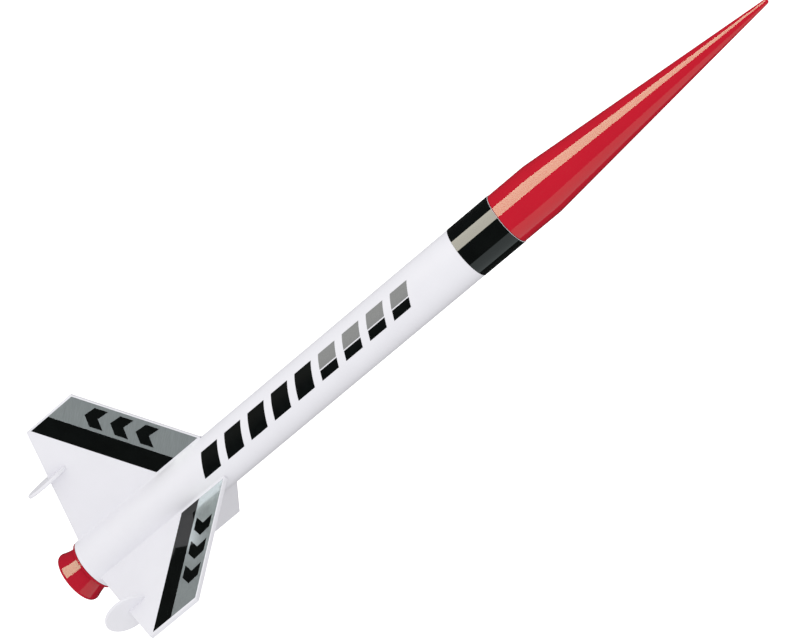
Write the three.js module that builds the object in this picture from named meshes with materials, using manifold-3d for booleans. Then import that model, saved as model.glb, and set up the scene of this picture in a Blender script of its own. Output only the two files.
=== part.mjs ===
// Model rocket: paper airframe, balsa fins with oval winglets, hollow plastic nose, tail bell,
// hook-retained solid motor, wadding and packed parachute. Millimetres, +Z up.
// The origin is on the rocket's axis, level with the bottom of the tail bell.
import * as THREE from 'three';
import { mergeVertices } from 'three/addons/utils/BufferGeometryUtils.js';
import Module from 'manifold-3d';

const wasm = await Module();
wasm.setup();

// ---- driving dimensions -------------------------------------------------------------------
const GAP = 0.3;               // clearance between pieces that touch on the real rocket
const ROUND = 48;              // sides of the airframe's round pieces
const MOTOR_ROUND = 32;        // sides of the motor's round pieces
const LUG_ROUND = 16;

const TUBE_R = 12.4;           // outside radius of the airframe tube
const TUBE_WALL = 0.33;
const TUBE_LENGTH = 241.3;
const BELL_HEIGHT = 10.8;      // how far the tail bell hangs below the tube

const NOSE_R = 12.25;          // the moulded nose is a little slimmer than the tube
const NOSE_EXPOSED = 141.2;    // seat to tip
const NOSE_STRAIGHT = 19.3;    // cylindrical stretch above the seat
const NOSE_TIP_R = 1.15;
const NOSE_WALL = 1.3;
const SHOULDER_LENGTH = 22;
const SHOULDER_WALL = 1.4;

const FIN_THICKNESS = 2.4;
const FIN_ANGLES = { left: 180, front: -60, back: 60 };
const FIN_SPAN_R = 63.2;       // radius of the fin's tip edge
const FIN_ROOT_AFT = 2.2;      // heights above the tube's aft end, at the tube's surface
const FIN_ROOT_FORE = 76.1;
const FIN_TIP_AFT = 18.9;
const FIN_TIP_FORE = 45.8;

const WINGLET_R = 41.0;        // radius of the winglet's middle plane
const WINGLET_THICKNESS = 1.6;
const WINGLET_HALF_WIDTH = 8.2;
const WINGLET_HALF_LENGTH = 11.3;
const WINGLET_MIDDLE = 10.4;   // height above the tube's aft end

const LUG_BORE_R = 2.0;
const LUG_WALL = 0.3;
const LUG_LENGTH = 50;
const LUG_AFT = 110;           // height of the lug's lower end
const LUG_ANGLE = 120;

const MOUNT_BORE_R = 9.05;     // takes a standard 18 mm motor
const MOUNT_WALL = 0.3;
const MOUNT_AFT = 12;
const MOUNT_FORE = 85;
const RING_LENGTH = 6;
const RING_HEIGHTS = { aft: 18, fore: 63 };

const MOTOR_R = 8.75;
const MOTOR_BORE_R = 6.4;
const MOTOR_AFT = 5.5;
const MOTOR_LENGTH = 70;

const HOOK_WIDTH = 3.2;
const HOOK_THICKNESS = 0.5;
const HOOK_CATCH_R = 7.7;      // how far in the hook's bent end reaches
const HOOK_SLOT = 4.0;         // width of every slot that the hook passes through

const BELL_RIM_R = 12.4;
const BELL_RIM_HEIGHT = 1.5;   // where the bell is widest
const BELL_NECK_R = 10.45;
const BELL_LIP = [11.5, 11.9]; // the flat ring that the rocket stands on
const BELL_BORE_TOP = 6.6;     // where the bell's flared mouth becomes its straight bore
const FLANGE_THICKNESS = 0.9;
const SPIGOT_LENGTH = 5.2;     // how far the bell reaches into the tube

const BAND_HEIGHTS = [72, 77]; // the film band that holds the hook
const BAND_FILM_THICKNESS = 0.3;

const LOOP_R = 3.6;            // the nose's moulded loop
const LOOP_BAR_R = 0.9;

const ANCHOR_HALF_ANGLE = 32;  // degrees
const ANCHOR_HEIGHT = 20;

const PACK_R = 9.6;            // radius of the rolled parachute and of the wadding
const WADDING_HEIGHTS = [131, 157];
const PARACHUTE_HEIGHTS = [159, 221];

// ---- places worked out from them ----------------------------------------------------------
const TUBE_AFT = BELL_HEIGHT;
const TUBE_FORE = TUBE_AFT + TUBE_LENGTH;
const TUBE_BORE_R = TUBE_R - TUBE_WALL;
const INSIDE_R = TUBE_BORE_R - GAP;            // what slides or sits inside the tube
const MOUNT_R = MOUNT_BORE_R + MOUNT_WALL;
const HOOK_IN = MOUNT_R + GAP;
const HOOK_OUT = HOOK_IN + HOOK_THICKNESS;
const MOTOR_FORE = MOTOR_AFT + MOTOR_LENGTH;
const BLOCK_HEIGHTS = [MOTOR_FORE + GAP, 81];
const HOOK_FORE = BLOCK_HEIGHTS[1] + GAP + HOOK_THICKNESS;
const NOSE_SEAT = TUBE_FORE + GAP;
const SHOULDER_AFT = NOSE_SEAT - SHOULDER_LENGTH;

// ---- materials ----------------------------------------------------------------------------
const material = (color, roughness, metalness = 0) =>
  new THREE.MeshStandardMaterial({ color, roughness, metalness });
const WHITE_PAINT = material(0xe8e8ee, 0.3);
const RED_PLASTIC = material(0xc8142a, 0.18);
const WHITE_PLASTIC = material(0xe4e2dc, 0.45);
const KRAFT_CARD = material(0xb08a5c, 0.85);
const SPRING_STEEL = material(0xa9adb2, 0.3, 1);
const BAND_FILM = material(0xc9b56a, 0.35);
const MOTOR_PAPER = material(0xb98d58, 0.8);
const CLAY = material(0x9d978d, 0.95);
const PROPELLANT = material(0x1d1c1c, 0.95);
const DELAY_MIX = material(0x4b4844, 0.95);
const WADDING_TISSUE = material(0xd8c9a4, 0.9);
const PARACHUTE_FILM = material(0xe2622a, 0.35);

// ---- shape helpers ------------------------------------------------------------------------
const rad = THREE.MathUtils.degToRad;
const profilePoint = ([r, z]) => new THREE.Vector2(r, z);

// A solid of revolution about Z. The profile holds [radius, height] pairs, outer side going up.
function lathe(profile, sides = ROUND) {
  const geometry = new THREE.LatheGeometry(profile.map(profilePoint), sides);
  return geometry.rotateX(Math.PI / 2);
}

function ring(inner, outer, low, high, sides = ROUND) {
  return lathe([[inner, low], [outer, low], [outer, high], [inner, high], [inner, low]], sides);
}

function disc(radius, low, high, sides = ROUND) {
  return lathe([[0, low], [radius, low], [radius, high], [0, high]], sides);
}

// A soft roll: a cylinder with rounded ends.
function roll(radius, low, high) {
  const round = 3;
  const steps = 4;
  const profile = [[0, low]];
  for (let i = 0; i <= steps; i++) {
    const a = (Math.PI / 2) * (i / steps);
    profile.push([radius - round + round * Math.sin(a), low + round - round * Math.cos(a)]);
  }
  for (let i = 0; i <= steps; i++) {
    const a = (Math.PI / 2) * (i / steps);
    profile.push([radius - round + round * Math.cos(a), high - round + round * Math.sin(a)]);
  }
  profile.push([0, high]);
  return lathe(profile, MOTOR_ROUND);
}

// A flat plate from an outline in (x, height), centred on the XZ plane.
function plate(shape, thickness, curveSegments = 8) {
  const geometry = new THREE.ExtrudeGeometry(shape, {
    depth: thickness, bevelEnabled: false, curveSegments,
  });
  return geometry.translate(0, 0, -thickness / 2).rotateX(Math.PI / 2);
}

function box(size, centre) {
  return new THREE.BoxGeometry(...size).translate(...centre);
}

function polygon(points) {
  return new THREE.Shape(points.map(([x, y]) => new THREE.Vector2(x, y)));
}

// The outline of a strip of constant thickness that follows a bent centre line.
function stripOutline(line, thickness) {
  const points = line.map(([x, y]) => new THREE.Vector2(x, y));
  const sides = [[], []];
  points.forEach((point, i) => {
    const before = points[Math.max(i - 1, 0)];
    const after = points[Math.min(i + 1, points.length - 1)];
    const into = point.clone().sub(before).normalize();
    const out = after.clone().sub(point).normalize();
    const along = into.clone().add(out).normalize();
    const across = new THREE.Vector2(-along.y, along.x);
    const straight = i === 0 ? out : into;
    const mitre = thickness / 2 / Math.abs(across.dot(new THREE.Vector2(-straight.y, straight.x)));
    sides[0].push(point.clone().addScaledVector(across, mitre));
    sides[1].unshift(point.clone().addScaledVector(across, -mitre));
  });
  return new THREE.Shape([...sides[0], ...sides[1]]);
}

function toSolid(geometry) {
  const bare = geometry.index ? geometry.toNonIndexed() : geometry.clone();
  bare.deleteAttribute('normal');
  bare.deleteAttribute('uv');
  const merged = mergeVertices(bare, 1e-4);
  return new wasm.Manifold(new wasm.Mesh({
    numProp: 3,
    vertProperties: new Float32Array(merged.attributes.position.array),
    triVerts: new Uint32Array(merged.index.array),
  }));
}

function toGeometry(solid) {
  const { vertProperties, triVerts, numProp } = solid.getMesh();
  const positions = new Float32Array((vertProperties.length / numProp) * 3);
  for (let i = 0; i < positions.length / 3; i++) {
    positions.set(vertProperties.subarray(i * numProp, i * numProp + 3), i * 3);
  }
  const geometry = new THREE.BufferGeometry();
  geometry.setAttribute('position', new THREE.BufferAttribute(positions, 3));
  geometry.setIndex([...triVerts]);
  geometry.computeVertexNormals();
  return geometry;
}

function cut(geometry, ...tools) {
  return toGeometry(tools.reduce((solid, tool) => solid.subtract(toSolid(tool)), toSolid(geometry)));
}

function join(...pieces) {
  return toGeometry(pieces.map(toSolid).reduce((solid, piece) => solid.add(piece)));
}

const rocket = new THREE.Group();

function add(parent, name, geometry, look) {
  const mesh = new THREE.Mesh(geometry, look);
  mesh.name = name;
  parent.add(mesh);
  return mesh;
}

// A slot for the engine hook, on the +Y side, from one radius and height to another.
function hookSlot(fromR, toR, low, high) {
  return box([HOOK_SLOT, toR - fromR, high - low], [0, (fromR + toR) / 2, (low + high) / 2]);
}

// ---- airframe -----------------------------------------------------------------------------
function bodyTube() {
  return ring(TUBE_BORE_R, TUBE_R, TUBE_AFT, TUBE_FORE);
}

const noseHeights = { kink: NOSE_SEAT + NOSE_STRAIGHT, tip: NOSE_SEAT + NOSE_EXPOSED };

// The cone's outer radius, from 0 at the kink to 1 where the round tip starts.
function coneRadius(t) {
  return NOSE_R + (NOSE_TIP_R - NOSE_R) * t;
}

function noseCone() {
  const coneTop = noseHeights.tip - NOSE_TIP_R;
  const steps = 6;
  const outer = [];
  const inner = [];
  for (let i = 0; i <= steps; i++) {
    const t = i / steps;
    const z = noseHeights.kink + (coneTop - noseHeights.kink) * t;
    outer.push([coneRadius(t), z]);
    if (coneRadius(t) > NOSE_WALL * 1.6) inner.push([coneRadius(t) - NOSE_WALL, z]);
  }
  for (let i = 1; i < 4; i++) {
    const a = (Math.PI / 2) * (i / 4);
    outer.push([NOSE_TIP_R * Math.cos(a), coneTop + NOSE_TIP_R * Math.sin(a)]);
  }
  const shoulderBore = INSIDE_R - SHOULDER_WALL;
  return lathe([
    [0, inner.at(-1)[1] + NOSE_WALL],
    ...inner.reverse(),
    [shoulderBore, NOSE_SEAT + 2],
    [shoulderBore, SHOULDER_AFT],
    [INSIDE_R - 0.6, SHOULDER_AFT],
    [INSIDE_R, SHOULDER_AFT + 0.8],
    [INSIDE_R, NOSE_SEAT],
    [NOSE_R, NOSE_SEAT],
    ...outer,
    [0, noseHeights.tip],
  ]);
}

// The plug that closes the nose, with the moulded loop that the recovery gear ties to.
function noseBaseInsert() {
  const plugR = INSIDE_R - SHOULDER_WALL - GAP;
  const plug = lathe([
    [0, SHOULDER_AFT + 0.4], [plugR - 0.5, SHOULDER_AFT + 0.4], [plugR, SHOULDER_AFT + 0.9],
    [plugR, SHOULDER_AFT + 4.5], [0, SHOULDER_AFT + 4.5],
  ]);
  const arch = new THREE.EllipseCurve(0, 0, LOOP_R, LOOP_R, Math.PI, 2 * Math.PI);
  const path = new THREE.CatmullRomCurve3([
    new THREE.Vector3(-LOOP_R, 0, SHOULDER_AFT + 1.5),
    ...arch.getPoints(8).map((p) => new THREE.Vector3(p.x, 0, SHOULDER_AFT - 1.2 + p.y)),
    new THREE.Vector3(LOOP_R, 0, SHOULDER_AFT + 1.5),
  ]);
  const section = new THREE.Shape().absarc(0, 0, LOOP_BAR_R, 0, 2 * Math.PI);
  const loop = new THREE.ExtrudeGeometry(section, {
    steps: 16, extrudePath: path, curveSegments: 4, bevelEnabled: false,
  });
  return join(plug, loop);
}

function finOutline() {
  const rootR = TUBE_R + GAP;
  return polygon([
    [rootR, TUBE_AFT + FIN_ROOT_AFT], [FIN_SPAN_R, TUBE_AFT + FIN_TIP_AFT],
    [FIN_SPAN_R, TUBE_AFT + FIN_TIP_FORE], [rootR, TUBE_AFT + FIN_ROOT_FORE],
  ]);
}

// An oval plate with a slot in its fore end, which slides over the fin's trailing edge.
function wingletOutline() {
  const halfSlot = FIN_THICKNESS / 2 + GAP;
  const middle = TUBE_AFT + WINGLET_MIDDLE;
  const alongEdge = (WINGLET_R - TUBE_R) / (FIN_SPAN_R - TUBE_R);
  const trailingEdge = FIN_ROOT_AFT + (FIN_TIP_AFT - FIN_ROOT_AFT) * alongEdge;
  const slotEnd = TUBE_AFT + trailingEdge - 2 * GAP;
  const start = Math.acos(halfSlot / WINGLET_HALF_WIDTH);
  const shape = new THREE.Shape();
  shape.moveTo(halfSlot, slotEnd);
  shape.lineTo(-halfSlot, slotEnd);
  shape.absellipse(0, middle, WINGLET_HALF_WIDTH, WINGLET_HALF_LENGTH,
    Math.PI - start, start, false);
  return shape;
}

function addFins() {
  for (const [side, angle] of Object.entries(FIN_ANGLES)) {
    const group = new THREE.Group();
    group.rotation.z = rad(angle);
    add(group, `fin_${side}`, plate(finOutline(), FIN_THICKNESS), WHITE_PAINT);
    const winglet = plate(wingletOutline(), WINGLET_THICKNESS, 18).rotateZ(Math.PI / 2);
    add(group, `winglet_${side}`, winglet.translate(WINGLET_R, 0, 0), WHITE_PAINT);
    rocket.add(group);
  }
}

function launchLug() {
  const outer = LUG_BORE_R + LUG_WALL;
  return ring(LUG_BORE_R, outer, LUG_AFT, LUG_AFT + LUG_LENGTH, LUG_ROUND)
    .translate(TUBE_R + GAP + outer, 0, 0);
}

// The flared plastic bell: a spigot in the tube, a thin flange against it, then the open bell.
function tailBell() {
  const bore = MOUNT_R + GAP;
  const flangeTop = TUBE_AFT - GAP;
  const flangeBottom = flangeTop - FLANGE_THICKNESS;
  const spigotTop = TUBE_AFT + SPIGOT_LENGTH;
  const flangeR = TUBE_R - GAP / 2;
  const [lipIn, lipOut] = BELL_LIP;
  const profile = [
    [bore, BELL_BORE_TOP], [lipIn - 0.75, 1.2], [lipIn - GAP, 0.2], [lipIn, 0], [lipOut, 0],
    [BELL_RIM_R - 0.2, 0.5], [BELL_RIM_R, BELL_RIM_HEIGHT],
    [BELL_NECK_R, flangeBottom - GAP], [BELL_NECK_R, flangeBottom],
    [flangeR, flangeBottom], [flangeR, flangeTop],
    [INSIDE_R, flangeTop], [INSIDE_R, spigotTop], [bore, spigotTop], [bore, BELL_BORE_TOP],
  ];
  return cut(lathe(profile), hookSlot(8, INSIDE_R - 0.02, 2.4, spigotTop + 1),
    hookSlot(8, INSIDE_R + 0.5, TUBE_AFT, spigotTop + 1));
}

// ---- motor mount --------------------------------------------------------------------------
function motorMountTube() {
  const slit = hookSlot(8, 11, BLOCK_HEIGHTS[1] + GAP / 2, HOOK_FORE + GAP);
  return cut(ring(MOUNT_BORE_R, MOUNT_R, MOUNT_AFT, MOUNT_FORE), slit);
}

function centringRing(low, slotR) {
  const card = ring(MOUNT_R + GAP, INSIDE_R, low, low + RING_LENGTH);
  return cut(card, hookSlot(8, slotR, low - 1, low + RING_LENGTH + 1));
}

function engineBlock() {
  return ring(MOTOR_BORE_R, MOTOR_R, ...BLOCK_HEIGHTS, MOTOR_ROUND);
}

// A spring-steel strip along the mount: a tab in front of the block, a catch behind the motor.
function engineHook() {
  const middle = (HOOK_IN + HOOK_OUT) / 2;
  const tabZ = HOOK_FORE - HOOK_THICKNESS / 2;
  const catchZ = MOTOR_AFT - GAP - HOOK_THICKNESS / 2;
  const line = [
    [HOOK_CATCH_R, tabZ], [middle - 0.5, tabZ], [middle, tabZ - 0.5],
    [middle, catchZ + 0.5], [middle - 0.5, catchZ],
    [HOOK_CATCH_R + 0.4, catchZ], [HOOK_CATCH_R, catchZ - 0.4], [HOOK_CATCH_R, catchZ - 1.8],
  ];
  return plate(stripOutline(line, HOOK_THICKNESS), HOOK_WIDTH).rotateZ(Math.PI / 2);
}

// A film band round the mount, bridging the hook near its fixed end.
function hookBand() {
  const [low, high] = BAND_HEIGHTS;
  const film = BAND_FILM_THICKNESS;
  const bridgeR = HOOK_OUT + GAP;
  const middle = (low + high) / 2;
  const loop = ring(HOOK_IN, HOOK_IN + film, low, high);
  const bridge = box([HOOK_SLOT + 2 * film, bridgeR + film - HOOK_IN, high - low],
    [0, (HOOK_IN + bridgeR + film) / 2, middle]);
  return cut(join(loop, bridge), hookSlot(8, bridgeR, low - 1, high + 1));
}

// ---- motor --------------------------------------------------------------------------------
function addMotor() {
  const fill = MOTOR_BORE_R - 0.2;
  const at = (height) => MOTOR_AFT + height;
  const round = MOTOR_ROUND;
  add(rocket, 'motor_casing',
    ring(MOTOR_BORE_R, MOTOR_R, MOTOR_AFT, MOTOR_FORE, round), MOTOR_PAPER);
  add(rocket, 'motor_nozzle', lathe([
    [1.3, at(4.2)], [2.7, at(1.1)], [fill, at(1.1)], [fill, at(7.6)], [2.4, at(7.6)], [1.3, at(4.2)],
  ], round), CLAY);
  add(rocket, 'propellant_grain', lathe([
    [0, at(12)], [1.5, at(11)], [1.5, at(7.9)], [fill, at(7.9)], [fill, at(38)], [0, at(38)],
  ], round), PROPELLANT);
  add(rocket, 'delay_grain', disc(fill, at(38.3), at(54), round), DELAY_MIX);
  add(rocket, 'ejection_charge', disc(fill, at(54.3), at(60), round), PROPELLANT);
  add(rocket, 'motor_cap', disc(fill, at(60.3), at(63), round), CLAY);
}

// ---- recovery gear ------------------------------------------------------------------------
// The folded paper tab glued to the bore near its mouth, which anchors the recovery gear.
function recoveryAnchor() {
  const halfAngle = rad(ANCHOR_HALF_ANGLE);
  const inner = PACK_R + 3 * GAP;
  const shape = new THREE.Shape();
  shape.absarc(0, 0, INSIDE_R, -halfAngle, halfAngle, false);
  shape.absarc(0, 0, inner, halfAngle, -halfAngle, true);
  const tab = new THREE.ExtrudeGeometry(shape, {
    depth: ANCHOR_HEIGHT, bevelEnabled: false, curveSegments: 8,
  });
  return tab.translate(0, 0, SHOULDER_AFT - 5 - ANCHOR_HEIGHT);
}

// ---- assembly -----------------------------------------------------------------------------
add(rocket, 'body_tube', bodyTube(), WHITE_PAINT);
add(rocket, 'nose_cone', noseCone(), RED_PLASTIC);
add(rocket, 'nose_base_insert', noseBaseInsert(), WHITE_PLASTIC);
addFins();
add(rocket, 'launch_lug', launchLug(), WHITE_PAINT).rotation.z = rad(LUG_ANGLE);
add(rocket, 'tail_bell', tailBell(), RED_PLASTIC);
add(rocket, 'motor_mount_tube', motorMountTube(), KRAFT_CARD);
add(rocket, 'centring_ring_aft', centringRing(RING_HEIGHTS.aft, INSIDE_R + 1), KRAFT_CARD);
add(rocket, 'centring_ring_fore', centringRing(RING_HEIGHTS.fore, 11), KRAFT_CARD);
add(rocket, 'engine_block', engineBlock(), KRAFT_CARD);
add(rocket, 'engine_hook', engineHook(), SPRING_STEEL);
add(rocket, 'hook_band', hookBand(), BAND_FILM);
addMotor();
add(rocket, 'recovery_wadding', roll(PACK_R, ...WADDING_HEIGHTS), WADDING_TISSUE);
add(rocket, 'parachute_pack', roll(PACK_R, ...PARACHUTE_HEIGHTS), PARACHUTE_FILM);
add(rocket, 'recovery_anchor', recoveryAnchor(), KRAFT_CARD);

export default rocket;
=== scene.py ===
"""Model rocket: the looks of every piece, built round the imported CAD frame."""
import math

import bmesh
import bpy
from mathutils import Matrix, Quaternion, Vector, noise


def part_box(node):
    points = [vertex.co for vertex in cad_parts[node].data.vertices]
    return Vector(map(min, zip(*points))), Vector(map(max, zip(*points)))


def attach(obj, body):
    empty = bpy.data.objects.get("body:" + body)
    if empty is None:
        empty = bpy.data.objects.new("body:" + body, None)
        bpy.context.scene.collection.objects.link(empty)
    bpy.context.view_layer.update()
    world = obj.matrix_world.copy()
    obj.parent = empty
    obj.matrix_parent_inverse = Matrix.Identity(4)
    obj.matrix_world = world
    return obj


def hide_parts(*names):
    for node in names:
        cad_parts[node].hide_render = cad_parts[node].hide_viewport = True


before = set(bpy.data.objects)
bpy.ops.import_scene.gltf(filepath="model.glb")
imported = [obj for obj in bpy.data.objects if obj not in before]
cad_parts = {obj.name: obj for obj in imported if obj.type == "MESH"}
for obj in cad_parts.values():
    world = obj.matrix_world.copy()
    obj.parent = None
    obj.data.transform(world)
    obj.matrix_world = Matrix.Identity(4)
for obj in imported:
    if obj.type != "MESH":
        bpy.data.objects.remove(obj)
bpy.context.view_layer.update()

MM = 0.001
radians = math.radians


# ---- sizes in millimetres, from the frame where a node's box gives them ---------------------
def heights(node):
    """The lowest and highest z of a CAD node."""
    low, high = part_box(node)
    return low.z / MM, high.z / MM


def half_width(node):
    """Half the x extent of a CAD node, which is a round node's radius."""
    low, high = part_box(node)
    return (high.x - low.x) / 2 / MM


TUBE_R = half_width("body_tube")
TUBE_WALL = 0.33
TUBE_AFT, TUBE_FORE = heights("body_tube")
GAP = 0.3                      # between pieces that touch in the real rocket
INSIDE_R = TUBE_R - TUBE_WALL - GAP

SHOULDER_AFT, NOSE_TIP = heights("nose_cone")
NOSE_R = 12.25
NOSE_SEAT = TUBE_FORE + GAP
NOSE_STRAIGHT = 19.3
NOSE_BLEND = 3.0               # how far its straight part is rounded into its cone
NOSE_TIP_R = 1.15
NOSE_WALL = 1.3
SHOULDER_WALL = 1.4

FIN_ANGLES = {"left": 180, "front": -60, "back": 60}   # degrees round Z from +X
FIN_THICKNESS = 2.4
FIN_SPAN_R = 63.2
FIN_ROOT_R = TUBE_R + GAP
FIN_ROOT = (TUBE_AFT + 2.2, TUBE_AFT + 76.1)   # heights of its ends
FIN_TIP = (TUBE_AFT + 18.9, TUBE_AFT + 45.8)

WINGLET_R = 41.0
WINGLET_THICKNESS = 1.6
WINGLET_HALF_WIDTH = 8.2
WINGLET_HALF_LENGTH = 11.3
WINGLET_MIDDLE = TUBE_AFT + 10.4

LUG_ANGLE = 120
LUG_R = 2.3
LUG_BORE_R = 2.0

BELL_RIM_R = 12.4
BELL_NECK_R = 10.45
BELL_BORE_TOP = 6.6            # where its flared mouth becomes its straight bore
FLANGE_THICKNESS = 0.9
SPIGOT_TOP = 16.0              # how high it reaches inside the tube

MOUNT_R = half_width("motor_mount_tube")
MOUNT_BORE_R = MOUNT_R - GAP
MOTOR_R = half_width("motor_casing")
MOTOR_BORE_R = 6.4
HOOK_SLOT = 4.0                # width of every slot that the hook passes through
HOOK_WIDTH = 3.2
HOOK_THICKNESS = 0.5
HOOK_IN = MOUNT_R + GAP
HOOK_OUT = HOOK_IN + HOOK_THICKNESS
SLOT_START_R = 8               # inside every bore, so that a slot is cut from there outwards
SLOT_END_R = 11                # past the hook
PACK_R = half_width("parachute_pack")


# ---- camera and light -----------------------------------------------------------------------
CAMERA_AT = Vector((-0.1916, -1.2756, 0.5542))
CAMERA_AIM = Vector((0.0039, -0.0006, 0.1884))
CAMERA_ROLL = 50.12            # the rocket lies across the frame, nose to the upper right
CAMERA_LENS = 142.8
CAMERA_SIDE = math.degrees(math.atan2(CAMERA_AT.y, CAMERA_AT.x))

FLOOR_Z = -0.13                # low enough to leave room for the motor as it slides out
SOFTBOX_DISTANCE = 1.6
SOFTBOX_HEIGHT = 1.4
SOFTBOX_MIDDLE = 0.3           # height of its middle
DARK_SIDE = (0.5, 0.866, 0.0)  # towards the unlit side of the room
DARK_SPREAD = (0.2, 0.5)       # the room's light falls off between these cosines from that side
ROOM_LIGHT = (1.02, 0.16)      # its strength on the bright and on the dark side
ROOM_REFLECTION = 0.03         # its strength in glossy surfaces


def add_camera():
    data = bpy.data.cameras.new("camera")
    data.lens = CAMERA_LENS
    data.sensor_width = 36
    camera = bpy.data.objects.new("camera", data)
    aim = (CAMERA_AIM - CAMERA_AT).to_track_quat("-Z", "Y")
    roll = Quaternion((0, 0, 1), radians(CAMERA_ROLL))
    camera.matrix_world = Matrix.LocRotScale(CAMERA_AT, aim @ roll, None)
    bpy.context.collection.objects.link(camera)
    bpy.context.scene.camera = camera


def add_softbox(name, turn, half_angle, radiance, colour):
    """A tall softbox that shows in glossy surfaces only. turn is its bearing from the camera's."""
    bearing = radians(CAMERA_SIDE + turn)
    data = bpy.data.lights.new(name, "AREA")
    data.shape = "RECTANGLE"
    data.size = 2 * SOFTBOX_DISTANCE * math.tan(radians(half_angle))
    data.size_y = SOFTBOX_HEIGHT
    data.energy = radiance * 4 * data.size * data.size_y
    data.color = colour
    softbox = bpy.data.objects.new(name, data)
    away = Vector((math.cos(bearing), math.sin(bearing), 0))
    place = away * SOFTBOX_DISTANCE + Vector((0, 0, SOFTBOX_MIDDLE))
    softbox.matrix_world = Matrix.LocRotScale(place, (-away).to_track_quat("-Z", "Y"), None)
    softbox.visible_camera = False
    softbox.visible_diffuse = False
    bpy.context.collection.objects.link(softbox)


def mix_value(tree, factor, low, high):
    """A socket that runs from the socket low to the number high as factor goes from 0 to 1."""
    mix = tree.nodes.new("ShaderNodeMix")
    tree.links.new(factor, mix.inputs["Factor"])
    tree.links.new(low, mix.inputs["A"])
    mix.inputs["B"].default_value = high
    return mix.outputs["Result"]


def add_world():
    """White to the camera, an even soft light on every surface, and dim in reflections."""
    world = bpy.data.worlds.new("studio")
    world.use_nodes = True
    world.cycles.sampling_method = "NONE"
    bpy.context.scene.world = world
    tree = world.node_tree
    background = tree.nodes["Background"]
    background.inputs["Color"].default_value = (1, 1, 1, 1)
    path = tree.nodes.new("ShaderNodeLightPath")
    place = tree.nodes.new("ShaderNodeTexCoord")
    side = tree.nodes.new("ShaderNodeVectorMath")
    side.operation = "DOT_PRODUCT"
    side.inputs[1].default_value = DARK_SIDE
    shade = tree.nodes.new("ShaderNodeMapRange")
    shade.interpolation_type = "SMOOTHSTEP"
    shade.inputs["From Min"].default_value = DARK_SPREAD[0]
    shade.inputs["From Max"].default_value = DARK_SPREAD[1]
    shade.inputs["To Min"].default_value = ROOM_LIGHT[0]
    shade.inputs["To Max"].default_value = ROOM_LIGHT[1]
    tree.links.new(place.outputs["Generated"], side.inputs[0])
    tree.links.new(side.outputs["Value"], shade.inputs["Value"])
    glossy = mix_value(tree, path.outputs["Is Glossy Ray"], shade.outputs["Result"],
                       ROOM_REFLECTION)
    camera = mix_value(tree, path.outputs["Is Camera Ray"], glossy, 1.0)
    tree.links.new(camera, background.inputs["Strength"])


def add_floor():
    """A plain pale sweep, evenly lit so that it meets the background without a line."""
    mesh = bpy.data.meshes.new("floor")
    side = 40
    corners = [(-side, -side), (side, -side), (side, side), (-side, side)]
    mesh.from_pydata([(x, y, FLOOR_Z) for x, y in corners], [], [(0, 1, 2, 3)])
    floor = bpy.data.objects.new("floor", mesh)
    bpy.context.collection.objects.link(floor)
    material = bpy.data.materials.new("floor")
    material.use_nodes = True
    material.cycles.emission_sampling = "NONE"
    shader = material.node_tree.nodes["Principled BSDF"]
    shader.inputs["Base Color"].default_value = (0.5, 0.5, 0.5, 1)
    shader.inputs["Roughness"].default_value = 0.9
    shader.inputs["Emission Color"].default_value = (1, 1, 1, 1)
    shader.inputs["Emission Strength"].default_value = 1.0
    mesh.materials.append(material)
    floor.visible_glossy = False
    floor.visible_diffuse = False


# ---- materials ------------------------------------------------------------------------------
SOCKETS = {
    "metallic": "Metallic", "specular": "Specular IOR Level", "tint": "Specular Tint",
    "sheen": "Sheen Weight",
}


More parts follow.
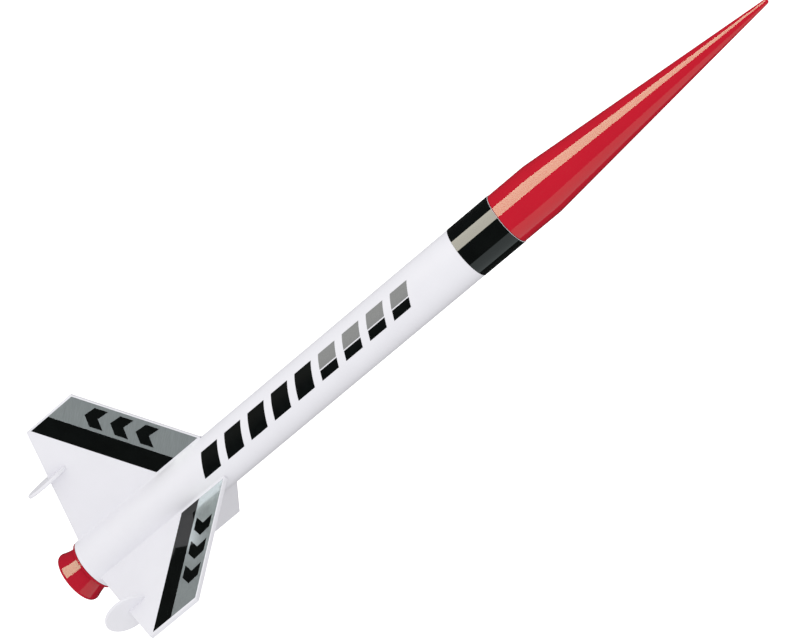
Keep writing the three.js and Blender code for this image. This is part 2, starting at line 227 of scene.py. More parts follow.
class Look:
    """A procedural material: a colour and roughness that vary over the surface, and a bump."""

    def __init__(self, name, colour, roughness, **sockets):
        self.material = bpy.data.materials.new(name)
        self.material.use_nodes = True
        self.tree = self.material.node_tree
        self.shader = self.tree.nodes["Principled BSDF"]
        self.colour = colour
        self.roughness = roughness
        self.place = self.node("ShaderNodeTexCoord").outputs["Object"]
        self.height = None
        for name, value in sockets.items():
            self.shader.inputs[SOCKETS[name]].default_value = value

    def node(self, kind, values=(), **settings):
        """Adds a node. values gives each input its number or the socket that drives it."""
        made = self.tree.nodes.new(kind)
        for setting, value in settings.items():
            setattr(made, setting, value)
        for socket, value in dict(values).items():
            if isinstance(value, bpy.types.NodeSocket):
                self.tree.links.new(value, made.inputs[socket])
            else:
                made.inputs[socket].default_value = value
        return made

    def maths(self, operation, *values):
        return self.node("ShaderNodeMath", enumerate(values), operation=operation).outputs[0]

    def speckle(self, size, stretch=(1, 1, 1), turn=(0, 0, 0), detail=4):
        """Noise whose features are about size millimetres across, drawn out by stretch."""
        scale = [1 / (size * MM * s) for s in stretch]
        mapping = self.node("ShaderNodeMapping", {"Vector": self.place, "Rotation": turn})
        scaled = self.node("ShaderNodeVectorMath",
                           {0: mapping.outputs[0], 1: scale}, operation="MULTIPLY")
        grain = self.node("ShaderNodeTexNoise",
                          {"Vector": scaled.outputs[0], "Scale": 1.0, "Detail": detail})
        return grain.outputs["Fac"]

    def ranged(self, value, low, high, from_low=0.3, from_high=0.7):
        """Maps a value onto low to high. Noise lies mostly between the two default limits."""
        return self.node("ShaderNodeMapRange", {
            "Value": value, "From Min": from_low, "From Max": from_high,
            "To Min": low, "To Max": high}).outputs["Result"]

    def paint(self, value, spread):
        """Colour runs with value, from the look's colour made darker to it made lighter."""
        dark = [c * (1 - spread) for c in self.colour]
        light = [min(c * (1 + spread), 1) for c in self.colour]
        mix = self.node("ShaderNodeMix", data_type="RGBA")
        ends = [s for s in mix.inputs if s.type == "RGBA"]
        ends[0].default_value = (*dark, 1)
        ends[1].default_value = (*light, 1)
        self.tree.links.new(self.ranged(value, 0, 1), mix.inputs["Factor"])
        colour = [s for s in mix.outputs if s.type == "RGBA"][0]
        self.tree.links.new(colour, self.shader.inputs["Base Color"])
        return self

    def polish(self, value, spread):
        """Roughness runs with value, by up to spread either way."""
        rough = self.ranged(value, self.roughness - spread, self.roughness + spread)
        self.tree.links.new(rough, self.shader.inputs["Roughness"])
        return self

    def bump(self, value, depth):
        """Adds relief: depth is in millimetres for a value from 0 to 1."""
        scaled = self.maths("MULTIPLY", value, depth * MM)
        self.height = scaled if self.height is None else self.maths("ADD", self.height, scaled)
        return self

    def spiral(self, pitch, width, depth):
        """The seam of a spirally wound paper tube, as a narrow groove."""
        xyz = self.node("ShaderNodeSeparateXYZ", {0: self.place}).outputs
        turn = self.maths("DIVIDE", self.maths("ARCTAN2", xyz[1], xyz[0]), 2 * math.pi)
        height = self.maths("DIVIDE", xyz[2], pitch * MM)
        along = self.maths("FRACT", self.maths("ADD", height, turn))
        edge = self.maths("ABSOLUTE", self.maths("SUBTRACT", along, 0.5))
        groove = self.ranged(edge, 0, 1, 0.5 - width / pitch, 0.5)
        return self.bump(groove, -depth)

    def done(self):
        """Connects the relief, if there is any, and gives the finished material."""
        if self.height is not None:
            bump = self.node("ShaderNodeBump", {"Height": self.height, "Distance": 1.0,
                                                "Strength": 1.0})
            self.tree.links.new(bump.outputs[0], self.shader.inputs["Normal"])
        return self.material


def white_paint(name, stretch=(1, 1, 1), turn=(0, 0, 0), grain=0.004):
    look = Look(name, (0.835, 0.83, 0.875), 0.55, specular=0.16)
    peel = look.speckle(1.6)
    look.paint(look.speckle(14), 0.012)
    look.polish(look.speckle(6), 0.06)
    look.bump(peel, 0.002)
    look.bump(look.speckle(0.5, stretch, turn), grain)
    return look.done()


def gloss_red(name="gloss_red", colour=(0.57, 0.0135, 0.031)):
    look = Look(name, colour, 0.045, tint=(0.55, 0.92, 0.72, 1))
    look.paint(look.speckle(18), 0.03)
    look.polish(look.speckle(5), 0.012)
    return look.done()


def black_film():
    look = Look("black_film", (0.0035, 0.0045, 0.0042), 0.04)
    look.paint(look.speckle(8), 0.2)
    look.polish(look.speckle(4), 0.012)
    look.bump(look.speckle(6, detail=1), 0.001)
    return look.done()


def silver_film(name, turn):
    look = Look(name, (0.74, 0.82, 0.83), 0.17, metallic=0.72)
    streaks = look.speckle(0.35, (1, 1, 14), turn)
    look.paint(streaks, 0.10)
    look.polish(look.speckle(3), 0.05)
    look.bump(streaks, 0.002)
    return look.done()


def black_ink():
    look = Look("black_ink", (0.003, 0.0045, 0.0045), 0.5, specular=0.03)
    look.paint(look.speckle(3), 0.2)
    look.polish(look.speckle(3), 0.05)
    return look.done()


def grey_ink():
    look = Look("grey_ink", (0.24, 0.245, 0.245), 0.5, specular=0.15)
    look.paint(look.speckle(0.4), 0.10)
    look.polish(look.speckle(3), 0.05)
    return look.done()


def card(name, colour, pitch=0.0):
    look = Look(name, colour, 0.85, specular=0.3)
    fibres = look.speckle(0.7, (1, 1, 6))
    look.paint(fibres, 0.12)
    look.polish(look.speckle(2), 0.06)
    look.bump(fibres, 0.012)
    if pitch:
        look.spiral(pitch, 0.35, 0.05)
    return look.done()


def steel():
    look = Look("spring_steel", (0.60, 0.62, 0.64), 0.28, metallic=1.0)
    drawn = look.speckle(0.18, (1, 1, 30))
    look.paint(drawn, 0.10)
    look.polish(drawn, 0.08)
    look.bump(drawn, 0.002)
    return look.done()


def powder(name, colour, size, relief):
    look = Look(name, colour, 0.92, specular=0.25)
    look.paint(look.speckle(size), 0.22)
    look.polish(look.speckle(size * 2), 0.05)
    look.bump(look.speckle(size), relief)
    return look.done()


def amber_film():
    look = Look("amber_film", (0.72, 0.60, 0.28), 0.25, specular=0.5)
    look.paint(look.speckle(3), 0.06)
    look.polish(look.speckle(2), 0.05)
    look.bump(look.speckle(2.5, detail=2), 0.01)
    return look.done()


def white_plastic():
    look = Look("white_plastic", (0.78, 0.77, 0.73), 0.38)
    look.paint(look.speckle(6), 0.02)
    look.polish(look.speckle(2), 0.05)
    look.bump(look.speckle(0.8), 0.006)
    return look.done()


def tissue():
    look = Look("wadding_tissue", (0.80, 0.72, 0.54), 0.95, specular=0.2, sheen=0.3)
    fibres = look.speckle(0.5, (1, 3, 1))
    look.paint(fibres, 0.08)
    look.polish(look.speckle(1.5), 0.03)
    look.bump(fibres, 0.03)
    return look.done()


def parachute_film():
    look = Look("parachute_film", (0.86, 0.20, 0.04), 0.3, specular=0.5)
    look.paint(look.speckle(5), 0.06)
    look.polish(look.speckle(2.5), 0.08)
    look.bump(look.speckle(3.5, (1, 1, 2), detail=3), 0.06)
    return look.done()


# ---- mesh helpers, all in millimetres -------------------------------------------------------
SIDES = 144                    # of a round piece
FINE_SIDES = 192               # of the long ones
SHARP_ANGLE = 38               # in degrees: edges sharper than this aren't smoothed


def new_piece(name, vertices, faces, material, body="airframe", slot=None, smooth=SHARP_ANGLE,
              turn=None):
    """Makes a piece that rides on a body. turn is a matrix that puts its mesh in place."""
    mesh = bpy.data.meshes.new(name)
    mesh.from_pydata([Vector(v) * MM for v in vertices], [], faces)
    if turn is not None:
        mesh.transform(turn)
    shell = bmesh.new()
    shell.from_mesh(mesh)
    bmesh.ops.remove_doubles(shell, verts=shell.verts, dist=1e-7)
    bmesh.ops.recalc_face_normals(shell, faces=shell.faces)
    shell.to_mesh(mesh)
    shell.free()
    mesh.materials.append(material)
    piece = bpy.data.objects.new(name, mesh)
    bpy.context.collection.objects.link(piece)
    smooth_below(piece, smooth)
    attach(piece, body)
    return piece


def bridge(rows, closed=False):
    """The faces from each loop of vertices to the next. If closed, the last joins the first."""
    count = len(rows[0])
    return [(low[k], low[(k + 1) % count], high[(k + 1) % count], high[k])
            for low, high in zip(rows, rows[1:] + (rows[:1] if closed else []))
            for k in range(count)]


def loft(rows):
    """The faces of a solid made of loops of vertices, with a cap at each end."""
    return [list(rows[0]), list(rows[-1]), *bridge(rows)]


def next_row(vertices, row):
    """Adds a loop of vertices and gives their numbers."""
    vertices += row
    return range(len(vertices) - len(row), len(vertices))


def smooth_below(piece, angle):
    piece.data.shade_smooth()
    piece.data.set_sharp_from_angle(angle=radians(angle))


def settle(piece):
    """Turns a piece's modifiers into its mesh."""
    graph = bpy.context.evaluated_depsgraph_get()
    mesh = bpy.data.meshes.new_from_object(piece.evaluated_get(graph))
    piece.modifiers.clear()
    piece.data = mesh


def soften(points, closed=True, steps=5):
    """Rounds the corners of a 2-D line. A point is (a, b) or (a, b, how far back it is rounded)."""
    rounded = []
    count = len(points)
    for i, (a, b, *reach) in enumerate(points):
        corner = Vector((a, b))
        inner = closed or 0 < i < count - 1
        if not reach or not inner:
            rounded.append((a, b))
            continue
        before = Vector(points[i - 1][:2]) - corner
        after = Vector(points[(i + 1) % count][:2]) - corner
        start = corner + before.normalized() * min(reach[0], before.length * 0.48)
        end = corner + after.normalized() * min(reach[0], after.length * 0.48)
        for k in range(steps + 1):
            t = k / steps
            p = start * (1 - t) ** 2 + corner * 2 * t * (1 - t) + end * t ** 2
            rounded.append((p.x, p.y))
    return rounded


def brace(points, closed):
    """Adds a point close to each end of every long side, so that only its corners shade as round."""
    braced = []
    ends = points[1:] + points[:1] if closed else points[1:]
    for here, there in zip(points, ends):
        start, end = Vector(here), Vector(there)
        braced.append(here)
        if (end - start).length > 1:
            step = (end - start).normalized() * 0.08
            braced += [tuple(start + step), tuple(end - step)]
    return braced if closed else braced + [points[-1]]


def lathe(name, profile, material, sides=SIDES, closed=True, **how):
    """A solid of revolution about Z. An open profile starts and ends on the axis."""
    profile = brace(profile, closed)
    vertices, rows = [], []
    for r, z in profile:
        if r < 1e-6:
            rows.append([len(vertices)] * sides)
            vertices.append((0, 0, z))
            continue
        rows.append(range(len(vertices), len(vertices) + sides))
        for k in range(sides):
            a = 2 * math.pi * k / sides
            vertices.append((r * math.cos(a), r * math.sin(a), z))
    faces = []
    pairs = list(zip(rows, rows[1:])) + ([(rows[-1], rows[0])] if closed else [])
    for low, high in pairs:
        for k in range(sides):
            n = (k + 1) % sides
            face = list(dict.fromkeys((low[k], low[n], high[n], high[k])))
            if len(face) > 2:
                faces.append(face)
    return new_piece(name, vertices, faces, material, **how)


def ring_profile(inner, outer, low, high, edge):
    """The section of a plain ring with rounded edges."""
    return soften([(inner, low, edge), (outer, low, edge), (outer, high, edge), (inner, high, edge)],
                  steps=3)


def offset(points, distance, closed=True):
    """Moves a 2-D line sideways, to its left, with mitred corners."""
    moved = []
    count = len(points)
    for i, point in enumerate(points):
        here = Vector(point)
        before = Vector(points[i - 1]) if closed or i else None
        after = Vector(points[(i + 1) % count]) if closed or i < count - 1 else None
        into = (here - before).normalized() if before is not None else (after - here).normalized()
        out = (after - here).normalized() if after is not None else into
        along = (into + out).normalized()
        across = Vector((-along.y, along.x))
        mitre = distance / max(across.dot(Vector((-into.y, into.x))), 0.2)
        moved.append(tuple(here + across * mitre))
    return moved


FLAT_AREA = 20                 # square millimetres: a plate's larger faces are shaded flat


def plate(name, outline, thickness, material, edge, steps=4, **how):
    """A flat plate in the XZ plane with rounded edges. The outline runs anticlockwise."""
    half = thickness / 2
    layers = []
    for side in (-1, 1):
        arc = [radians(90) * k / steps for k in range(steps + 1)]
        for a in (arc if side < 0 else reversed(arc)):
            inset = edge * (1 - math.sin(a))
            layers.append((inset, side * (half - edge * (1 - math.cos(a)))))
    vertices = []
    rows = [next_row(vertices, [(a, y, b) for a, b in offset(outline, inset)])
            for inset, y in layers]
    piece = new_piece(name, vertices, loft(rows), material, **how)
    for face in piece.data.polygons:
        if len(face.vertices) > 4 or face.area > FLAT_AREA * MM ** 2:
            face.use_smooth = False
    return piece


def cut_box(piece, low, high):
    """Cuts a box, given by two corners, out of a piece."""
    corners = [(x, y, z) for x in (low[0], high[0]) for y in (low[1], high[1])
               for z in (low[2], high[2])]
    faces = [(0, 1, 3, 2), (4, 6, 7, 5), (0, 4, 5, 1), (2, 3, 7, 6), (0, 2, 6, 4), (1, 5, 7, 3)]
    mesh = bpy.data.meshes.new("cutter")
    mesh.from_pydata([Vector(c) * MM for c in corners], [], faces)
    cutter = bpy.data.objects.new("cutter", mesh)
    bpy.context.collection.objects.link(cutter)
    change(piece, "DIFFERENCE", cutter)


def change(piece, operation, tool):
    """Joins a solid to a piece or cuts it out, and removes the solid."""
    modifier = piece.modifiers.new("change", "BOOLEAN")
    modifier.operation = operation
    modifier.object = tool
    modifier.solver = "EXACT"
    settle(piece)
    bpy.data.objects.remove(tool)
    smooth_below(piece, SHARP_ANGLE)


def hook_slot(piece, from_r, to_r, low, high):
    """Cuts the slot for the engine hook, on the +Y side, between two radii and two heights."""
    cut_box(piece, (-HOOK_SLOT / 2, from_r, low), (HOOK_SLOT / 2, to_r, high))


def about_z(angle):
    """A turn about Z, in degrees."""
    return Matrix.Rotation(radians(angle), 4, "Z")


# ---- airframe -------------------------------------------------------------------------------
def add_body_tube():
    profile = ring_profile(TUBE_R - TUBE_WALL, TUBE_R, TUBE_AFT, TUBE_FORE, 0.1)
    tube = lathe("body_tube_skin", profile, white_paint("tube_paint"), FINE_SIDES,
                 slot="white_paint")
    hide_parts("body_tube")


def add_nose():
    """A straight skirt that blends into a long cone with a round tip, and the hollow shoulder."""
    kink = NOSE_SEAT + NOSE_STRAIGHT
    cone_top = NOSE_TIP - NOSE_TIP_R
    slope = (NOSE_R - NOSE_TIP_R) / (cone_top - kink)
    cone_steps, tip_steps = 80, 10
    cone = []
    for k in range(1, cone_steps):
        t = k / cone_steps
        cone.append((NOSE_R + (NOSE_TIP_R - NOSE_R) * t, kink + (cone_top - kink) * t))
    outer = soften([(NOSE_R, NOSE_SEAT), (NOSE_R, kink, NOSE_BLEND), *cone, (NOSE_TIP_R, cone_top)],
                   closed=False, steps=8)
    tip = []
    for k in range(1, tip_steps):
        a = math.pi / 2 * k / tip_steps
        tip.append((NOSE_TIP_R * math.cos(a), cone_top + NOSE_TIP_R * math.sin(a)))
    hollow_top = cone_top - (NOSE_WALL * 1.6 - NOSE_TIP_R) / slope
    bore = INSIDE_R - SHOULDER_WALL
    profile = [
        (0, hollow_top + 1), (0.3, hollow_top), (NOSE_R - NOSE_WALL, kink), (bore, NOSE_SEAT + 2),
        (bore, SHOULDER_AFT + 0.1), (bore + 0.2, SHOULDER_AFT),
        (INSIDE_R - 0.7, SHOULDER_AFT), (INSIDE_R - 0.15, SHOULDER_AFT + 0.5),
        (INSIDE_R, SHOULDER_AFT + 1.0), (INSIDE_R, NOSE_SEAT), (NOSE_R - 0.15, NOSE_SEAT),
        (NOSE_R - 0.04, NOSE_SEAT + 0.06), *outer, *tip, (0, NOSE_TIP),
    ]
    nose = lathe("nose_cone_shell", profile, gloss_red(), FINE_SIDES, closed=False,
                 body="nose", slot="red_plastic")
    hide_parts("nose_cone")


def sweep(name, path, radius, material, sides=20, **how):
    """A round bar along a path in the XZ plane."""
    vertices, rows = [], []
    turns = [2 * math.pi * k / sides for k in range(sides)]
    for i, (x, z) in enumerate(path):
        before = Vector(path[max(i - 1, 0)])
        after = Vector(path[min(i + 1, len(path) - 1)])
        along = (after - before).normalized()
        across = Vector((-along.y, along.x))
        rows.append(next_row(vertices, [
            (x + across.x * radius * math.cos(a), radius * math.sin(a),
             z + across.y * radius * math.cos(a)) for a in turns]))
    return new_piece(name, vertices, loft(rows), material, **how)


def add_nose_insert():
    """A moulded plug that closes the shoulder, with a loop below it to tie to."""
    plug_r = INSIDE_R - SHOULDER_WALL - GAP
    low = SHOULDER_AFT + 7.6
    loop_r, loop_bar_r = 3.6, 0.9
    profile = soften([(0, low), (plug_r - 1.6, low), (plug_r - 1.2, low - 0.6, 0.3),
                      (plug_r, low - 0.6, 0.4), (plug_r, low + 4.1, 0.3), (0, low + 4.1)],
                     closed=False)
    material = white_plastic()
    insert = lathe("nose_insert_plug", profile, material, closed=False, body="nose",
                   slot="white_plastic")
    centre = low - 1.6
    arch = [(-loop_r * math.cos(a), centre - loop_r * math.sin(a))
            for a in (math.pi * k / 16 for k in range(17))]
    path = [(-loop_r, low + 1.1), *arch, (loop_r, low + 1.1)]
    change(insert, "UNION", sweep("loop", path, loop_bar_r, material, body="nose"))
    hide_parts("nose_base_insert")


def fin_outline():
    """A swept trapezium, as (distance from the axis, height)."""
    return [(FIN_ROOT_R, FIN_ROOT[0]), (FIN_SPAN_R, FIN_TIP[0]),
            (FIN_SPAN_R, FIN_TIP[1]), (FIN_ROOT_R, FIN_ROOT[1])]


FILLET = 0.7                   # the glue and paint fillet along each fin's root


def add_fillet(name, side, material, turn):
    """A hollow-faced bead between the tube and one face of a fin, tapering out at its ends."""
    steps, taper = 6, 2.5      # the bead fades out over its last few millimetres
    low, high = FIN_ROOT
    stations = [(low, 0.15), (low + taper / 2, 0.75), (low + taper, 1.0),
                (high - taper, 1.0), (high - taper / 2, 0.75), (high, 0.15)]
    vertices, rows = [], []
    face_y = FIN_THICKNESS / 2
    for z, size in stations:
        reach = FILLET * size
        start = Vector((FIN_ROOT_R + reach, face_y))
        end_y = face_y + reach
        end = Vector((math.sqrt(TUBE_R ** 2 - end_y ** 2), end_y))
        corner = Vector((FIN_ROOT_R - GAP / 2, face_y + 0.05))
        section = []
        for k in range(steps + 1):
            t = k / steps
            section.append(start * (1 - t) ** 2 + corner * 2 * t * (1 - t) + end * t ** 2)
        section += [Vector((end.x - 0.15, end.y)), Vector((TUBE_R - 0.2, face_y - 0.1)),
                    Vector((start.x, face_y - 0.1))]
        rows.append(next_row(vertices, [(p.x, side * p.y, z) for p in section]))
    return new_piece(name, vertices, loft(rows), material, slot="white_paint", turn=turn)


def winglet_outline():
    """An oval with a slot in its fore end. The slot's sides are sunk into the fin, without a gap."""
    sunk, steps = 0.6, 96
    half_slot = FIN_THICKNESS / 2 - sunk
    along = (WINGLET_R - TUBE_R) / (FIN_SPAN_R - TUBE_R)
    slot_end = FIN_ROOT[0] + (FIN_TIP[0] - FIN_ROOT[0]) * along + 1.5 * sunk
    start = math.acos(half_slot / WINGLET_HALF_WIDTH)
    arc = math.pi + 2 * start
    turns = [math.pi - start + arc * k / steps for k in range(steps + 1)]
    oval = [(WINGLET_HALF_WIDTH * math.cos(a), WINGLET_MIDDLE + WINGLET_HALF_LENGTH * math.sin(a))
            for a in turns]
    return [(-half_slot, slot_end), *oval, (half_slot, slot_end)]


def add_fins():
    """Each fin with its two fillets and its winglet. The balsa's grain follows the leading edge."""
    slope = math.atan2(FIN_TIP[1] - FIN_ROOT[1], FIN_SPAN_R - FIN_ROOT_R)
    for side, angle in FIN_ANGLES.items():
        turn = about_z(angle)
        grain = (0, slope + math.pi / 2, 0)
        paint = white_paint(f"fin_paint_{side}", (1, 1, 25), grain, 0.008)
        fin = plate(f"fin_{side}_blade", fin_outline(), FIN_THICKNESS, paint, edge=0.5, steps=5,
                    slot="white_paint", turn=turn)
        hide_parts(f"fin_{side}")
        for label, face in (("a", 1), ("b", -1)):
            add_fillet(f"fin_{side}_fillet_{label}", face, paint, turn)
        place = turn @ Matrix.Translation((WINGLET_R * MM, 0, 0)) @ about_z(90)
        winglet = plate(f"winglet_{side}_oval", winglet_outline(), WINGLET_THICKNESS, paint,
                        edge=0.55, slot="white_paint", turn=place)
        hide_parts(f"winglet_{side}")


def add_launch_lug():
    low, high = heights("launch_lug")
    place = about_z(LUG_ANGLE) @ Matrix.Translation(((FIN_ROOT_R + LUG_R) * MM, 0, 0))
    lug = lathe("launch_lug_tube", ring_profile(LUG_BORE_R, LUG_R, low, high, 0.08),
                white_paint("lug_paint"), 64, slot="white_paint", turn=place)
    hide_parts("launch_lug")


def add_tail_bell():
    """A spigot in the tube, a thin flange against it, and the open bell below."""
    bore = HOOK_IN
    flange_low, flange_high = TUBE_AFT - GAP - FLANGE_THICKNESS, TUBE_AFT - GAP
    flange_r = TUBE_R - 0.15
    profile = soften([
        (bore, BELL_BORE_TOP, 0.5), (10.75, 1.2, 0.6), (11.45, 0, 0.4), (11.95, 0, 0.35),
        (BELL_RIM_R, 1.1, 0.6), (11.15, 4.9, 1.5), (BELL_NECK_R, flange_low - 0.2, 0.5),
        (BELL_NECK_R + 0.1, flange_low, 0.2), (flange_r, flange_low, 0.2),
        (flange_r, flange_high, 0.2), (INSIDE_R, flange_high, 0.1), (INSIDE_R, SPIGOT_TOP, 0.3),
        (bore, SPIGOT_TOP, 0.3)])
    # The bell's red is the nose's red plastic made darker: painted shade, standing in for the shade
    # the bell sits in below the tube and fins.
    red = gloss_red("gloss_red_bell_painted_shade", (0.49, 0.0135, 0.031))
    bell = lathe("tail_bell_shell", profile, red, slot="red_plastic")
    hook_slot(bell, SLOT_START_R, INSIDE_R - 0.02, 2.4, SPIGOT_TOP + 1)
    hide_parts("tail_bell")


# ---- motor mount ----------------------------------------------------------------------------
def add_motor_mount():
    """The mount tube, the two rings that hold it, and the block that the motor pushes on."""
    low, high = heights("motor_mount_tube")
    mount_card = card("mount_card", (0.43, 0.27, 0.13), pitch=26)
    ring_card = card("ring_card", (0.50, 0.34, 0.18))
    block_low, block_high = heights("engine_block")
    mount = lathe("mount_tube_card", ring_profile(MOUNT_BORE_R, MOUNT_R, low, high, 0.08),
                  mount_card, slot="kraft_card")
    hook_slot(mount, SLOT_START_R, SLOT_END_R, block_high + GAP / 2,
              block_high + 2 * GAP + HOOK_THICKNESS)
    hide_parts("motor_mount_tube")
    for side, slot_r in (("aft", INSIDE_R + 1), ("fore", SLOT_END_R)):
        low, high = heights(f"centring_ring_{side}")
        ring = lathe(f"ring_{side}_card", ring_profile(MOUNT_R + GAP, INSIDE_R, low, high, 0.25),
                     ring_card, slot="kraft_card")
        hook_slot(ring, SLOT_START_R, slot_r, low - 1, high + 1)
        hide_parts(f"centring_ring_{side}")
    block = lathe("engine_block_card",
                  ring_profile(MOTOR_BORE_R, MOTOR_R, block_low, block_high, 0.25), ring_card,
                  slot="kraft_card")
    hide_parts("engine_block")


def add_hook():
    """A spring strip: a tab in front of the engine block and a catch behind the motor."""
    middle = (HOOK_IN + HOOK_OUT) / 2
    low, high = heights("engine_hook")
    tab = high - HOOK_THICKNESS / 2
    catch = heights("motor_casing")[0] - GAP - HOOK_THICKNESS / 2
    catch_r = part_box("engine_hook")[0].y / MM + HOOK_THICKNESS / 2
    line = soften([(catch_r, tab), (middle, tab, 0.7), (middle, catch, 0.7),
                   (catch_r + 0.1, catch, 0.5), (catch_r, low)], closed=False)
    left = offset(line, HOOK_THICKNESS / 2, closed=False)
    right = offset(line, -HOOK_THICKNESS / 2, closed=False)
    outline = right + left[::-1]
    hook = plate("engine_hook_strip", outline, HOOK_WIDTH, steel(), edge=0.08, steps=2, body="hook",
                 slot="spring_steel", turn=about_z(90))
    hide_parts("engine_hook")


def add_hook_band():
    """A film band round the mount tube, which rises over the hook."""
    low, high = heights("hook_band")
    film, edge, sides = 0.3, 0.1, 180
    hook_angle, rise_start, rise_width = 90, 22, 8
    rise = HOOK_OUT + GAP - HOOK_IN

    def inner(angle):
        away = abs((angle - hook_angle + 180) % 360 - 180)
        t = min(max((rise_start - away) / rise_width, 0), 1)
        return HOOK_IN + rise * t * t * (3 - 2 * t)

    vertices, rows = [], []
    levels = [(low, edge), (low + edge, 0), (high - edge, 0), (high, edge)]
    shell = [(z, film - inset) for z, inset in levels] + levels[::-1]
    for z, out in shell:
        row = []
        for k in range(sides):
            angle = 360 * k / sides
            r = inner(angle) + out
            row.append((r * math.cos(radians(angle)), r * math.sin(radians(angle)), z))
        rows.append(next_row(vertices, row))
    band = new_piece("hook_band_film", vertices, bridge(rows, closed=True), amber_film(),
                     slot="band_film")
    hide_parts("hook_band")


# ---- motor ----------------------------------------------------------------------------------
def add_motor():
    """The paper casing and clay nozzle. The charges inside keep their plain shapes."""
    low, high = heights("motor_casing")
    paper = card("motor_paper", (0.50, 0.31, 0.15), pitch=31)
    casing = lathe("motor_casing_paper", ring_profile(MOTOR_BORE_R, MOTOR_R, low, high, 0.3),
                   paper, body="motor", slot="motor_paper")
    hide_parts("motor_casing")
    fill = MOTOR_BORE_R - 0.2
    aft, fore = heights("motor_nozzle")
    throat = aft + 3.1
    profile = soften([(1.3, throat, 0.8), (2.9, aft, 0.4), (fill - 0.6, aft, 0.3),
                      (fill, aft + 0.5, 0.3), (fill, fore, 0.2), (2.4, fore, 0.3)])
    clay = powder("clay", (0.36, 0.33, 0.29), 0.35, 0.05)
    nozzle = lathe("motor_nozzle_clay", profile, clay, 96, body="motor", slot="clay")
    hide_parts("motor_nozzle")
    black = powder("black_powder", (0.012, 0.012, 0.012), 0.3, 0.06)
    delay = powder("delay_mix", (0.07, 0.066, 0.06), 0.3, 0.05)
    for node, material in (("propellant_grain", black), ("ejection_charge", black),
                           ("delay_grain", delay), ("motor_cap", clay)):
        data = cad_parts[node].data
        data.materials.clear()
        data.materials.append(material)


# ---- recovery gear --------------------------------------------------------------------------
def add_wadding():
    """Squares of tissue, crumpled together until they fill the bore."""
    low, high = heights("recovery_wadding")
    shell = bmesh.new()
    bmesh.ops.create_icosphere(shell, subdivisions=6, radius=1.0)
    half = (high - low) / 2
    middle = Vector((0, 0, (low + high) / 2))
    power = 5.0                # how square the wad is: 2 would be a ball
    big_fold, small_fold = 5.5, 2.2
    for v in shell.verts:
        p = v.co.normalized()
        across = math.hypot(p.x, p.y)
        size = (across ** power + abs(p.z) ** power) ** (-1 / power)
        round_form = Vector((p.x * size * (PACK_R - 0.2), p.y * size * (PACK_R - 0.2),
                             p.z * size * (half - 0.3)))
        cells = noise.voronoi(round_form / big_fold)[0]
        crease = min(cells[1] - cells[0], 0.6) / 0.6
        fine = noise.voronoi(round_form / small_fold + Vector((7, 3, 1)))[0]
        depth = 1.7 * (1 - crease) ** 2 + 0.5 * (1 - min(fine[1] - fine[0], 0.5) / 0.5)
        v.co = round_form * (1 - depth / PACK_R) + middle
    vertices = [tuple(v.co) for v in shell.verts]
    faces = [[v.index for v in f.verts] for f in shell.faces]
    shell.free()
    wadding = new_piece("wadding_tissue_wad", vertices, faces, tissue(), body="wadding",
                        slot="wadding_tissue", smooth=60)
    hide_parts("recovery_wadding")


CANOPY_AREA = 0.0805           # square metres: the hexagon within it


def add_parachute():
    """The canopy, folded to a strip and rolled up to fit the bore."""
    low, high = heights("parachute_pack")
    ragged = 1.6               # room for its uneven ends
    low, high = low + ragged, high - ragged
    film, inner_r, outer_r = 0.05, 1.0, PACK_R - 0.25
    length = CANOPY_AREA / (high - low) / MM ** 2
    pitch = math.pi * (outer_r ** 2 - inner_r ** 2) / length
    turns = (outer_r - inner_r) / pitch
    per_turn, levels = 44, 6
    columns = int(turns * per_turn)
    vertices, grid = [], []
    for side in (0, 1):
        for c in range(columns + 1):
            t = c / columns
            angle = 2 * math.pi * turns * t
            wave = noise.noise(Vector((math.cos(angle) * 2, math.sin(angle) * 2, t * 3)))
            row = []
            for k in range(levels + 1):
                h = k / levels
                edge = abs(2 * h - 1) ** 6
                r = inner_r + (outer_r - inner_r) * t - film * side
                crease = noise.noise(Vector((math.cos(angle) * 1.5, math.sin(angle) * 1.5, h * 4)))
                r *= 1 + 0.035 * (crease - 0.25)
                z = low + (high - low) * h + edge * (0.9 * wave + 0.4 * math.sin(9 * angle + t))
                row.append(len(vertices))
                vertices.append((r * math.cos(angle), r * math.sin(angle), z))
            grid.append(row)
    outer, inner = grid[:columns + 1], grid[columns + 1:]
    faces = []
    for c in range(columns):
        for k in range(levels):
            faces.append((outer[c][k], outer[c + 1][k], outer[c + 1][k + 1], outer[c][k + 1]))
            faces.append((inner[c][k + 1], inner[c + 1][k + 1], inner[c + 1][k], inner[c][k]))
        faces.append((outer[c][0], inner[c][0], inner[c + 1][0], outer[c + 1][0]))
        faces.append((outer[c][-1], outer[c + 1][-1], inner[c + 1][-1], inner[c][-1]))
    for c in (0, columns):
        for k in range(levels):
            faces.append((outer[c][k], outer[c][k + 1], inner[c][k + 1], inner[c][k]))
    roll = new_piece("parachute_film_roll", vertices, faces, parachute_film(), body="parachute",
                     slot="parachute_film", smooth=60)
    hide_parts("parachute_pack")


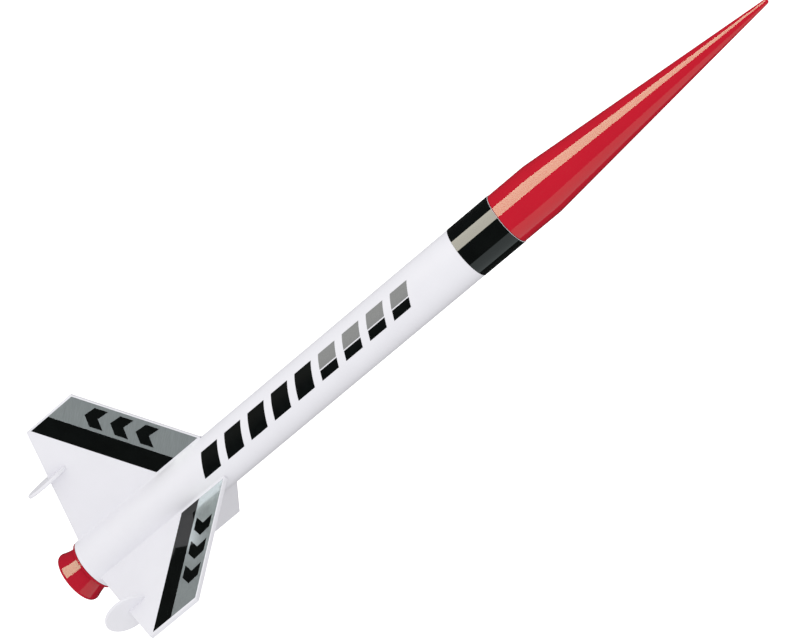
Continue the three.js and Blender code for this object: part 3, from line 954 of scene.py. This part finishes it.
def add_recovery_anchor():
    """A strip of card folded in three and glued to the bore."""
    low, high = heights("recovery_anchor")
    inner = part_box("recovery_anchor")[1].x / MM - 1.25
    layers, steps = 3, 24
    leaf, glue_line = (INSIDE_R - inner) / layers, 0.03
    paper = card("anchor_card", (0.62, 0.50, 0.34))
    vertices, faces = [], []
    for layer in range(layers):
        half = radians(32 - 1.5 * layer)
        inside = inner + leaf * (layers - 1 - layer) + glue_line
        outside = inner + leaf * (layers - layer) - glue_line
        bottom, top = low + 0.4 * layer, high - 0.5 * layer
        profile = soften([(inside, bottom, 0.08), (outside, bottom, 0.08), (outside, top, 0.08),
                          (inside, top, 0.08)], steps=2)
        rows = []
        for k in range(steps + 1):
            a = -half + 2 * half * k / steps
            rows.append(next_row(vertices, [(r * math.cos(a), r * math.sin(a), z)
                                            for r, z in profile]))
        faces += loft(rows)
    anchor = new_piece("recovery_anchor_tab", vertices, faces, paper, slot="kraft_card")
    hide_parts("recovery_anchor")


# ---- printed films --------------------------------------------------------------------------
FILM = 0.05                    # thickness of a decal
FILM_LIFT = 0.015              # its clearance from what it lies on
BAND_HEIGHT = 22.4             # of the black band at the tube's mouth
BAR_LENGTH = 9.4               # the size of each bar along the tube
BAR_SLANT = -0.115             # how far a bar climbs per degree round the tube


def add_nose_band(black):
    """The black band round the tube's mouth."""
    low, high = TUBE_FORE - BAND_HEIGHT, TUBE_FORE - 0.12
    r = TUBE_R + FILM_LIFT
    lathe("black_band", ring_profile(r, r + FILM, low, high, 0.02), black, FINE_SIDES)


def add_wrapped(name, bars, material):
    """Slanted bars on the tube. Each is (azimuth at its start, azimuth at its end, start height)."""
    inner = TUBE_R + FILM_LIFT
    outer = inner + FILM
    vertices, faces = [], []
    for start, end, height in bars:
        steps = max(4, int((end - start) / 2))
        rows = []
        for k in range(steps + 1):
            turned = (end - start) * k / steps
            a = radians(start + turned)
            low = height + BAR_SLANT * turned
            high = low + BAR_LENGTH
            rows.append(next_row(vertices, [
                (r * math.cos(a), r * math.sin(a), z)
                for r, z in ((inner, low), (outer, low), (outer, high), (inner, high))]))
        faces += loft(rows)
    return new_piece(name, vertices, faces, material, smooth=30)


def add_tube_graphic(black, grey):
    """A row of slanted bars along the tube. The fore ones are split, grey over black."""
    bars, whole_bars, first, pitch = 9, 5, 80.0, 13.7
    left, split, right, half_gap = -134.0, -105.0, -86.0, 1.2
    blacks, greys = [], []
    for i in range(bars):
        foot = first + pitch * i
        height = foot - BAR_SLANT * (right - left)
        if i < whole_bars:
            blacks.append((left, right, height))
            continue
        blacks.append((split + half_gap, right, foot - BAR_SLANT * (right - split)))
        greys.append((left, split - half_gap, height))
    add_wrapped("tube_graphic_black", blacks, black)
    add_wrapped("tube_graphic_grey", greys, grey)


def add_fin_decal(side, face, black, turn_grain):
    """A silver stripe behind the leading edge, a black one behind it, and three chevrons.
    face is 1 for the fin's +Y side before it is turned into place, and -1 for its -Y side."""
    turn = about_z(FIN_ANGLES[side])
    surface = face * (FIN_THICKNESS / 2)
    root_r, tip_r = FIN_ROOT_R + FILLET, FIN_SPAN_R - 0.8
    slope = (FIN_TIP[1] - FIN_ROOT[1]) / (FIN_SPAN_R - FIN_ROOT_R)

    def edge_line(r, drop):
        return r, FIN_ROOT[1] + slope * (r - FIN_ROOT_R) - drop

    def stripe(name, fore, aft, material):
        outline = [edge_line(root_r, aft), edge_line(tip_r, aft),
                   edge_line(tip_r, fore), edge_line(root_r, fore)]
        return lay(name, [outline], material, FILM_LIFT)

    def lay(name, outlines, material, lift):
        vertices, faces = [], []
        for outline in outlines:
            rows = [next_row(vertices, [(a, surface + face * up, b) for a, b in outline])
                    for up in (lift, lift + FILM)]
            faces += loft(rows)
        return new_piece(name, vertices, faces, material, turn=turn, smooth=20)

    margin, silver_deep, black_deep = 0.5, 14.7, 25.05
    silver = silver_film(f"silver_{side}", turn_grain)
    stripe(f"decal_{side}_silver", margin, silver_deep, silver)
    stripe(f"decal_{side}_black", silver_deep + 0.05, black_deep, black)
    along = Vector((FIN_SPAN_R - FIN_ROOT_R, FIN_TIP[1] - FIN_ROOT[1])).normalized()
    across = Vector((along.y, -along.x))
    start = Vector(edge_line(FIN_ROOT_R, silver_deep / 2 + 0.3))
    height, arm, point, first, pitch = 4.5, 6.0, 3.4, 14.0, 11.6
    marks = []
    for i in range(3):
        base = start + along * (first + pitch * i)
        shape = [(0, -height), (arm, -height), (arm + point, 0), (arm, height), (0, height),
                 (point, 0)]
        marks.append([tuple(base + along * a + across * -b) for a, b in shape])
    lay(f"decal_{side}_chevrons", marks, black, FILM_LIFT * 2 + FILM)


def add_decals():
    black = black_film()
    add_nose_band(black)
    add_tube_graphic(black_ink(), grey_ink())
    add_fin_decal("left", 1, black, (0, radians(35), 0))
    add_fin_decal("front", -1, black, (radians(35), 0, 0))


bpy.context.scene.view_settings.view_transform = "Standard"
add_camera()
add_softbox("key_softbox", turn=-48, half_angle=23, radiance=8.3, colour=(1.0, 0.96, 0.82))
add_softbox("fill_softbox", turn=78, half_angle=30, radiance=0.68, colour=(0.88, 1.0, 1.0))
add_world()
add_floor()

add_body_tube()
add_nose()
add_nose_insert()
add_fins()
add_launch_lug()
add_tail_bell()
add_motor_mount()
add_hook()
add_hook_band()
add_motor()
add_wadding()
add_parachute()
add_recovery_anchor()
add_decals()
